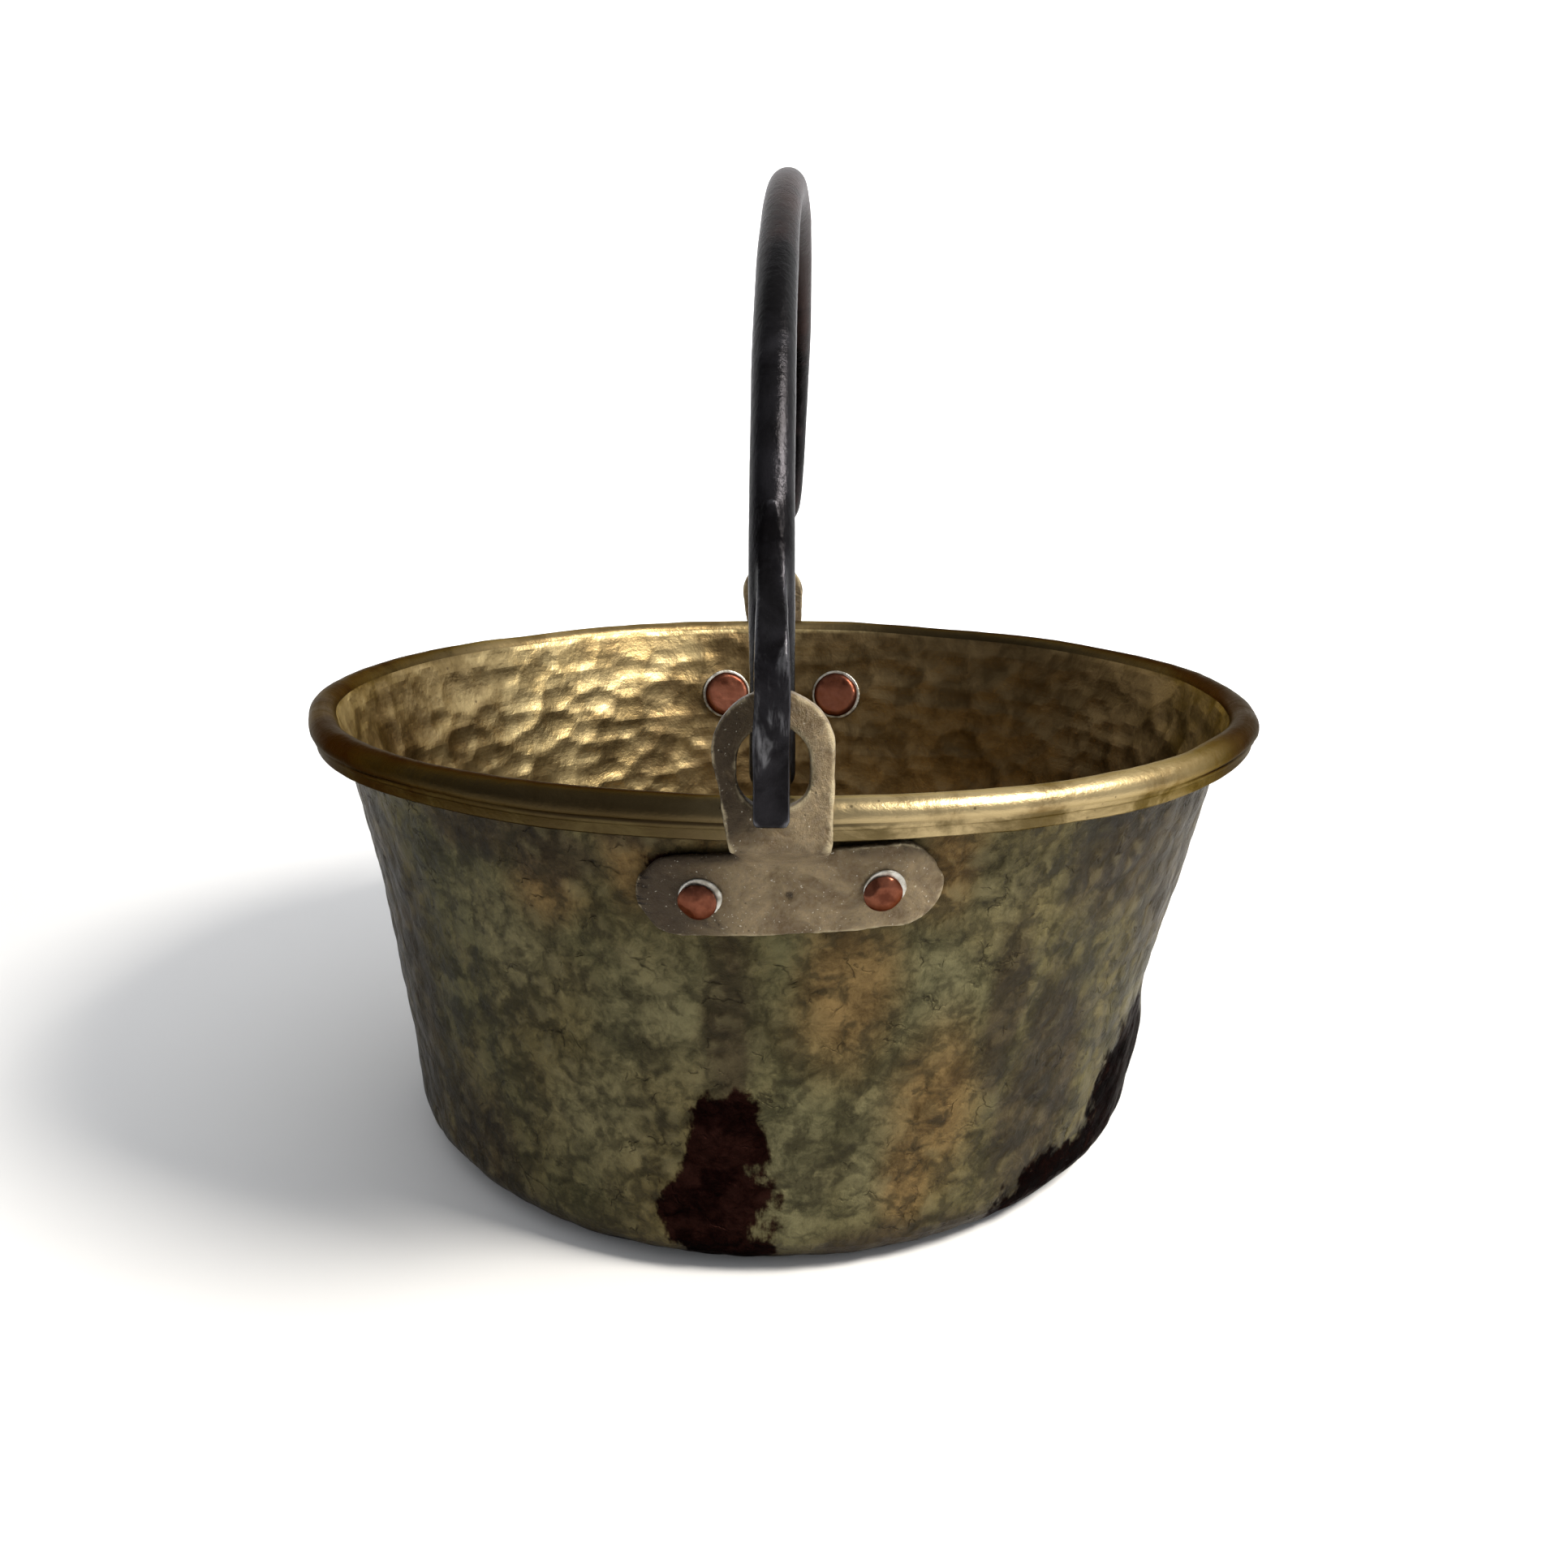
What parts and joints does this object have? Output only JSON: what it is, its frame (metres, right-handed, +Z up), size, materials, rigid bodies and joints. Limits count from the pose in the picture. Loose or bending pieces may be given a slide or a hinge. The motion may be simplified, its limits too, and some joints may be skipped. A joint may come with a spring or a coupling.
{
  "type": "cooking pan with bail handle",
  "caption": "Hammered one-piece brass cooking pan with a wired rolled rim, riveted bronze ring lugs and a swinging forged iron bail handle.",
  "frame": {"origin": "centre of the flat base, on the surface the pan stands on", "axes": "+Z up along the pan's axis; the lugs stand on the Y axis, the front lug towards -Y; +X is across the bail"},
  "size_m": [0.3, 0.3208, 0.2948],
  "materials": {
    "hammered_brass": "hammered, aged and patinated, brighter inside",
    "rim_iron": "bare drawn wire, hidden in the curl",
    "cast_bronze": "rough cast, worn and dull",
    "copper_rivet": "hammered copper",
    "tinned_washer": "dull tin",
    "forged_iron": "forged, blackened, lightly polished by hands"
  },
  "bodies": {
    "pan": {"pan_shell": "hammered_brass", "rim_wire": "rim_iron", "lug_front": "cast_bronze", "rivet_front_left": "copper_rivet", "washer_outer_front_left": "tinned_washer", "washer_inner_front_left": "tinned_washer", "rivet_front_right": "copper_rivet", "washer_outer_front_right": "tinned_washer", "washer_inner_front_right": "tinned_washer", "lug_back": "cast_bronze", "rivet_back_left": "copper_rivet", "washer_outer_back_left": "tinned_washer", "washer_inner_back_left": "tinned_washer", "rivet_back_right": "copper_rivet", "washer_outer_back_right": "tinned_washer", "washer_inner_back_right": "tinned_washer"},
    "bail": {"bail": "forged_iron"}
  },
  "joints": [
    {"name": "bail_swing", "type": "hinge", "parent": "pan", "child": "bail", "pos_m": [-0.0018, 0, 0.1466], "axis": [0, 1, 0], "range_deg": [-89, 84]}
  ]
}
